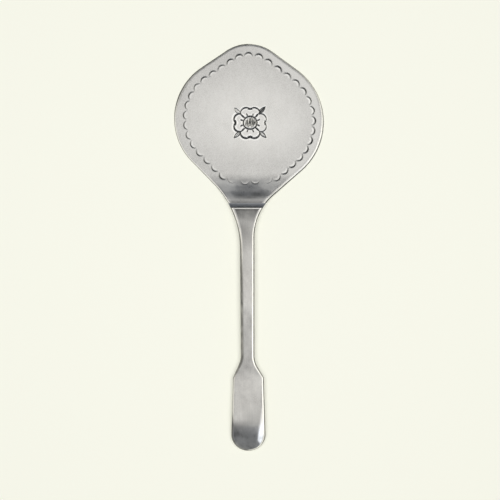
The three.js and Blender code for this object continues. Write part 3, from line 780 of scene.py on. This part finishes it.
def handle_marks(x, y):
    """The land along the lip and the facet on the end carry painted highlight. Painted shade lies behind the
    lip, most along it, thinly along the stem and most on its left, as a haze ahead of the turned end, and on
    that end, most in its left corner."""
    behind, ahead = -LIP - y, y - END
    # Painted highlight on the land along the lip
    land = LAND_PAINTED_HIGHLIGHT * smooth(LIP_EDGE, 2 * LIP_EDGE, behind)
    land = land * smooth(LAND_STOP * LIP_LAND, LIP_LAND, behind)
    # Painted highlight on the facet
    facet = smooth(*FACET_BORDER, beyond_crease(x, y))
    # Painted shade behind the lip, thin along the stem and darker on its left
    lip = smooth(LIP_LAND, BEHIND_LIP_SHADE_FROM * LIP_LAND, behind)
    lip = lip * blend(*BEHIND_LIP_SHADE, smooth(*BEHIND_LIP_SHADE_FALL, behind))
    first, second = (0.5 * smooth(*fall, behind) for fall in STEM_FALLS)
    stem = smooth(*STEM_FROM, behind) * (1 - first - second)
    front = np.maximum(lip * smooth(*BEHIND_LIP_SHADE_TO, behind), (STEM_PAINTED_SHADE - STEM_SHADE_LEFT * x) * stem)
    # Painted shade on the turned end, most in its left corner
    end = END_PAINTED_SHADE * smooth(*END_SHADE_FROM, ahead)
    for strength, across, start, stop in PATCHES:
        end += strength * smooth(*across, x) * smooth(*start, ahead) * smooth(*stop, ahead)
    painted_shade = np.maximum(front, end * (1 - facet))
    return np.zeros(x.shape), np.stack([painted_shade, np.maximum(land, facet)], axis=-1)


def solder_marks(x, y):
    """Painted shade darkens the fillet towards the lip, and more on the right, and the film's sides behind
    it.
    """
    # Painted shade in the fillet's corner before the lip, and on the film under the handle
    fillet = (FILLET_SHADE + FILLET_SHADE_RIGHT * x) * np.clip(FILLET_SHADE_TO - (y + LIP) / FILLET, 0, 1) ** 2
    painted_shade = np.where(y > -LIP, fillet, FILM_SHADE)
    return np.zeros(x.shape), np.stack([painted_shade, np.zeros(x.shape)], axis=-1)


def build_blade():
    """The sheet from its point to the end of the tongue under the handle."""
    cap = POINT - RIGHT["point_radius"] * (1 - np.cos(CAP_TURNS))
    stops = [cap[-1] - BLADE_PITCHES[0], *ROSE_ALONG, -LIP + MARKS_END, -LIP, TONGUE_END]
    rows = np.concatenate([cap, stations(stops, BLADE_PITCHES)])
    return plate(
        "pewter_blade", rows, blade_under, blade_top, blade_rounding(rows), blade_spread,
        carve_blade, blade_polish, caps=(False, True),
    )


def build_handle():
    """The casting from its front lip to its turned end, with the rebate for the tongue below its front."""
    step = TONGUE_END - BUTT
    lip = -LIP - LIP_EDGE * (1 - np.cos(np.linspace(0, np.pi / 2, LIP_STEPS)))
    stops = [lip[-1] - HANDLE_PITCHES[0] / 2, -LIP - LAND_ROWS]
    stops += [step + HAIR, step - HAIR, END + FACET_FULL, END + TIP_FROM]
    first = np.arccos(1 - TIP_FROM / END_RADIUS)
    tip = END + END_RADIUS * (1 - np.cos(np.linspace(first, 0, TIP_STEPS)[1:]))
    rows = np.concatenate([lip, stations(stops, HANDLE_PITCHES), tip])
    return plate(
        "pewter_handle", rows, handle_under, handle_top, handle_rounding(rows), even(HANDLE_POINTS),
        handle_marks, handle_polish, lower=worn_away, caps=(True, False),
    )


def build_solder():
    """The solder between them: fillet ahead of the lip, film in the lap and butt behind the tongue."""
    front, back = -LIP + FILLET, TONGUE_END - BUTT + SEAT
    stops = [front, -LIP + HAIR, -LIP - HAIR, TONGUE_END + HAIR, TONGUE_END - HAIR, back]
    rows = stations(stops, SOLDER_PITCHES)
    thin = [np.full(rows.shape, SEAT)] * 2
    return plate(
        "solder_joint", rows, solder_under, solder_top, thin, even(SOLDER_POINTS),
        solder_marks, solder_polish, low=SEAT, painted_edges=no_painted_edges,
    )


blade = build_blade()
handle = build_handle()
solder = build_solder()


# Parts of the hand finish, and its noises: scale, detail, how many times longer along the server and how
# far turned from it
FINISH = ("Clouds", "Mottling", "Brushing", "Grain", "Scratches")
CLOUDS, MOTTLING, BRUSHING, GRAIN = (60, 3), (330, 2.5, 1.7, 0.2), (1400, 2, 25), (1700, 2)
HAIRS, HAIR_TURNS, HAIR_SHARE = (1500, 1, 40), (0.35, -0.8, 1.9), (0.66, 0.72)

# What the scratches add to tone, roughness and height
SCRATCHES_ADD = (-0.15, 0.3, -0.5)

# Colours of tarnish with painted shade and of rubbed metal with painted highlight, and how rough the metal is
# where it is polished and where it isn't, with what the finish and the tarnish with painted shade add. Grain
# fades up to a polish of 1.3.
TARNISH_AND_SHADE, PATCHINESS_GAIN = (0.025, 0.027, 0.028, 1), 3.5
BURNISHED_AND_HIGHLIGHT = (0.9, 0.885, 0.845, 1)
POLISHED_ROUGHNESS, DULL_ROUGHNESS = 0.285, 0.47
FINISH_ROUGHENS, TARNISH_ROUGHENS = 0.12, 0.2
GRAIN_GONE = 1.3
RELIEF_DEPTH = 0.00002


def feed(tree, made, inputs):
    """Links inputs of a node to sockets, or sets them to values."""
    for name, value in inputs.items():
        if isinstance(value, bpy.types.NodeSocket):
            tree.links.new(value, made.inputs[name])
        else:
            made.inputs[name].default_value = value


def node(tree, kind, inputs=None, **settings):
    """A new shader node with its settings and inputs."""
    made = tree.nodes.new(kind)
    for key, value in settings.items():
        setattr(made, key, value)
    feed(tree, made, inputs or {})
    return made


def calculate(tree, operation, *values):
    """The result of a Math node on sockets or numbers."""
    return node(tree, "ShaderNodeMath", dict(enumerate(values)), operation=operation).outputs[0]


def ramp(tree, value, low, high):
    """Eases from 0 to 1 while value goes from low to high."""
    inputs = {"Value": value, "From Min": low, "From Max": high}
    return node(tree, "ShaderNodeMapRange", inputs, interpolation_type="SMOOTHSTEP").outputs["Result"]


def mix_colours(tree, share, first, second):
    """A share of the way from the first colour to the second; each is a socket or a colour."""
    inputs = {"Factor": share, 6: first, 7: second}
    return node(tree, "ShaderNodeMix", inputs, data_type="RGBA").outputs[2]


def noise(tree, place, scale, detail, length=1.0, turn=0.0):
    """Noise on places in metres, drawn out so many times along a line that is turned from Y about Z."""
    turned = {"Vector": place, "Rotation": (0, 0, turn), "Scale": (1, length, 1)}
    moved = node(tree, "ShaderNodeMapping", turned, vector_type="TEXTURE")
    return node(
        tree, "ShaderNodeTexNoise", {"Vector": moved.outputs[0], "Scale": scale, "Detail": detail}
    ).outputs["Fac"]


def hand_finish_group():
    """Hand-finished pewter: clouds of polish, smaller mottling, fine brushing along the server, grain and
    stray scratches. Patchiness says where tarnish and painted shade are stronger or weaker than on average."""
    tree = bpy.data.node_groups.new("hand_finish", "ShaderNodeTree")
    tree.interface.new_socket("Place", in_out="INPUT", socket_type="NodeSocketVector")
    for way, names in (("INPUT", FINISH), ("OUTPUT", ("Tone", "Rough", "Height", "Patchiness"))):
        for name in names:
            tree.interface.new_socket(name, in_out=way, socket_type="NodeSocketFloat")
    given, wanted = node(tree, "NodeGroupInput").outputs, node(tree, "NodeGroupOutput").inputs
    place = given["Place"]
    hairs = [ramp(tree, noise(tree, place, *HAIRS, turn), *HAIR_SHARE) for turn in HAIR_TURNS]
    scratches = calculate(tree, "MAXIMUM", calculate(tree, "MAXIMUM", hairs[0], hairs[1]), hairs[2])
    scratches = calculate(tree, "MULTIPLY", scratches, given["Scratches"])
    layers = {}
    for name, form in (("Brushing", BRUSHING), ("Grain", GRAIN), ("Clouds", CLOUDS), ("Mottling", MOTTLING)):
        centred = calculate(tree, "SUBTRACT", noise(tree, place, *form), 0.5)
        layers[name] = calculate(tree, "MULTIPLY", centred, given[name])
    fine = calculate(tree, "ADD", layers["Brushing"], layers["Grain"])
    broad = calculate(tree, "ADD", layers["Clouds"], layers["Mottling"])
    total = calculate(tree, "ADD", fine, broad)
    tone = calculate(tree, "ADD", total, 0.5)
    for name, base, share in zip(("Tone", "Rough", "Height"), (tone, total, fine), SCRATCHES_ADD):
        tree.links.new(calculate(tree, "MULTIPLY_ADD", scratches, share, base), wanted[name])
    tree.links.new(calculate(tree, "MULTIPLY", layers["Mottling"], PATCHINESS_GAIN), wanted["Patchiness"])
    return tree


def new_material(name):
    """A material with its node tree and its Principled shader."""
    material = bpy.data.materials.new(name)
    material.use_nodes = True
    return material, material.node_tree, material.node_tree.nodes["Principled BSDF"]


def pewter(name, dark, light, finish, relief):
    """Pewter whose tone and relief come from the hand finish, with dark cuts, bright burrs, painted shade and
    painted highlight.

    The finish gives the strength of each of the hand finish's parts. Where the metal is less polished it is
    rougher and its grain shows more. Where tarnish and painted shade cover it partly, by their share times
    the share left clean, they are patchy.
    """
    material, tree, shader = new_material(name)
    place = node(tree, "ShaderNodeTexCoord").outputs["Object"]
    patina_and_shade, burnish_and_highlight, polish = (
        node(tree, "ShaderNodeAttribute", attribute_name=layer).outputs["Fac"] for layer in MARKS
    )
    parts = {"Place": place, **dict(zip(FINISH, finish))}
    dull = calculate(tree, "SUBTRACT", GRAIN_GONE, polish)
    parts["Grain"] = calculate(tree, "MULTIPLY", dull, parts["Grain"])
    group = node(tree, "ShaderNodeGroup", parts, node_tree=HAND_FINISH)
    metal = mix_colours(tree, group.outputs["Tone"], dark, light)
    # Burnished metal and painted highlight brighten the metal
    metal = mix_colours(tree, burnish_and_highlight, metal, BURNISHED_AND_HIGHLIGHT)
    partly = calculate(tree, "MULTIPLY", patina_and_shade, calculate(tree, "SUBTRACT", 1, patina_and_shade))
    # Tarnish and painted shade, made patchy, darken it towards the tarnish colour
    tarnish_and_shade = calculate(tree, "MULTIPLY_ADD", partly, group.outputs["Patchiness"], patina_and_shade)
    rough = calculate(tree, "MULTIPLY_ADD", polish, POLISHED_ROUGHNESS - DULL_ROUGHNESS, DULL_ROUGHNESS)
    for value, gain in ((group.outputs["Rough"], FINISH_ROUGHENS), (patina_and_shade, TARNISH_ROUGHENS)):
        rough = calculate(tree, "MULTIPLY_ADD", value, gain, rough)
    heights = {"Height": group.outputs["Height"], "Strength": relief, "Distance": RELIEF_DEPTH}
    feed(tree, shader, {
        "Base Color": mix_colours(tree, tarnish_and_shade, metal, TARNISH_AND_SHADE), "Metallic": 1, "Roughness": rough,
        "Normal": node(tree, "ShaderNodeBump", heights).outputs[0],
    })
    return material


HAND_FINISH = hand_finish_group()

blade_pewter = pewter(
    "blade_pewter", (0.5, 0.49, 0.465, 1), (0.75, 0.735, 0.7, 1), (1.2, 0.8, 0.12, 2.4, 0.25), 0.22,
)
handle_pewter = pewter(
    "handle_pewter", (0.453, 0.44, 0.414, 1), (0.775, 0.755, 0.71, 1), (1.7, 1, 0.4, 1.2, 0.3), 0.3,
)
solder_metal = pewter(
    "solder_metal", (0.36, 0.37, 0.38, 1), (0.6, 0.61, 0.62, 1), (1.2, 0.8, 0.2, 1, 0.2), 0.5,
)

for piece, cad, slot, material in (
    (blade, "blade", "blade_pewter", blade_pewter),
    (handle, "handle", "handle_pewter", handle_pewter),
    (solder, "solder_seam", "solder", solder_metal),
):
    piece.data.materials.append(material)
    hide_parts(cad)
    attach(piece, "root")

# The studio: the picture's pixels to a side, a pixel's size on the table and the place below its middle
PIXELS, PIXEL = 500, 0.5904
VIEW_X, VIEW_Y = 0.94, -76.75
CAMERA_HEIGHT, SENSOR, CLIP_END = 1200, 36, 20

# The paper on the table, the share of its light that shadows leave to it, and its size and drop in metres
PAPER, PAPER_GLOW = (0.94, 0.94, 0.83, 1), 0.25
PAPER_HALF, PAPER_BELOW = 4, 0.0001

# Light for matt surfaces: a lamp overhead and the tent round the table
LAMP_PLACE, LAMP_SIZE, LAMP_RADIANCE = (VIEW_X, -60, 1500), 640, 14.6
FILL = 0.2

# What metal sees: a lamp overhead with a soft edge and a glow round it, by the angle in degrees from their
# middle, and walls that are dim ahead and behind, paler to both sides and along the table. Two reflectors,
# as brightness, place and edge, stand above the table: one on the right and a dimmer one on the left.
LAMP_TILT = np.radians(3.5)
LAMP, LAMP_EDGE = 0.95, np.radians([8, 22])
GLOW, GLOW_EDGE = 0.28, np.radians([10, 55])
WALLS, SIDE_WALLS, SIDE_EDGE = 0.17, 0.28, (0.35, 0.65)
HORIZON, HORIZON_EDGE = 0.35, (0.08, 0.34)
REFLECTORS = [(1.3, (0.93, -0.37, 0), (0.36, 0.6)), (0.8, (-0.95, -0.3, 0), (0.35, 0.6))]
REFLECTOR_FOOT = (0.2, 0.45)

# The tent's colour overhead, away from the lamp, and to both sides
NEUTRAL, COOL, WARM = (1, 1, 1, 1), (0.945, 1.005, 1.125, 1), (1.02, 1.01, 0.95, 1)


def studio_floor():
    """A pale sheet of paper, a hair below the server, that keeps the shadow."""
    ways = ((-1, -1), (1, -1), (1, 1), (-1, 1))
    corners = [(PAPER_HALF * x, PAPER_HALF * y, -PAPER_BELOW) for x, y in ways]
    mesh = bpy.data.meshes.new("floor")
    mesh.from_pydata(corners, [], [(0, 1, 2, 3)])
    floor = put("floor", mesh)
    material, tree, shader = new_material("floor_paper")
    path = node(tree, "ShaderNodeLightPath").outputs
    seen = calculate(tree, "MAXIMUM", path["Is Camera Ray"], path["Is Glossy Ray"])
    feed(tree, shader, {
        "Base Color": (*(np.array(PAPER[:3]) * (1 - PAPER_GLOW)), 1), "Roughness": 1,
        "Specular IOR Level": 0, "Emission Color": PAPER,
        "Emission Strength": calculate(tree, "MULTIPLY", seen, PAPER_GLOW),
    })
    mesh.materials.append(material)


def studio_lamp():
    """A square lamp over the table for matt surfaces; its power is its brightness times pi times its area."""
    light = bpy.data.lights.new("overhead", "AREA")
    light.size = LAMP_SIZE * MM
    light.energy = LAMP_RADIANCE * np.pi * light.size**2
    lamp = put("overhead", light)
    lamp.location = Vector(LAMP_PLACE) * MM
    lamp.visible_camera = False
    lamp.visible_glossy = False


def closeness(tree, towards, place):
    """How closely a direction points at a place: their dot product."""
    made = node(tree, "ShaderNodeVectorMath", {0: towards, 1: place}, operation="DOT_PRODUCT")
    return made.outputs["Value"]


def studio_world():
    """A tent round the table: paper for the camera, an even fill for matt surfaces, and for metal the sum of
    lamp, glow, walls and reflectors."""
    world = bpy.data.worlds.new("tent")
    world.use_nodes = True
    tree = world.node_tree
    background = tree.nodes["Background"]
    towards = node(tree, "ShaderNodeTexCoord").outputs["Generated"]
    overhead = (0, np.sin(LAMP_TILT), np.cos(LAMP_TILT))
    along = calculate(tree, "MINIMUM", closeness(tree, towards, overhead), 1)
    angle = calculate(tree, "ARCCOSINE", along)
    xyz = node(tree, "ShaderNodeSeparateXYZ", {0: towards}).outputs
    lamp = calculate(tree, "SUBTRACT", 1, ramp(tree, angle, *LAMP_EDGE))
    glow = calculate(tree, "SUBTRACT", 1, ramp(tree, angle, *GLOW_EDGE))
    sides = ramp(tree, calculate(tree, "ABSOLUTE", xyz["X"]), *SIDE_EDGE)
    horizon = calculate(tree, "SUBTRACT", 1, ramp(tree, xyz["Z"], *HORIZON_EDGE))
    above = ramp(tree, xyz["Z"], *REFLECTOR_FOOT)
    lights = [(lamp, LAMP), (glow, GLOW), (sides, SIDE_WALLS), (horizon, HORIZON)]
    for light, place, edge in REFLECTORS:
        share = ramp(tree, closeness(tree, towards, place), *edge)
        lights.append((calculate(tree, "MULTIPLY", share, above), light))
    metal_sees = WALLS
    for share, light in lights:
        metal_sees = calculate(tree, "MULTIPLY_ADD", share, light, metal_sees)
    path = node(tree, "ShaderNodeLightPath").outputs
    level = node(tree, "ShaderNodeMix", {"Factor": path["Is Glossy Ray"], 2: FILL, 3: metal_sees})
    strength = node(tree, "ShaderNodeMix", {"Factor": path["Is Camera Ray"], 2: level.outputs[0], 3: 1})
    tint = mix_colours(tree, ramp(tree, angle, *GLOW_EDGE), NEUTRAL, COOL)
    tint = mix_colours(tree, sides, tint, WARM)
    colour = mix_colours(tree, path["Is Camera Ray"], tint, PAPER)
    feed(tree, background, {"Color": colour, "Strength": strength.outputs[0]})
    bpy.context.scene.world = world


studio_floor()
studio_lamp()
studio_world()

camera = put("camera", bpy.data.cameras.new("camera"))
camera.location = (VIEW_X * MM, VIEW_Y * MM, CAMERA_HEIGHT * MM)
camera.data.sensor_width = SENSOR
camera.data.lens = SENSOR * CAMERA_HEIGHT / (PIXELS * PIXEL)
camera.data.clip_end = CLIP_END
bpy.context.scene.camera = camera
bpy.context.scene.view_settings.view_transform = "Standard"
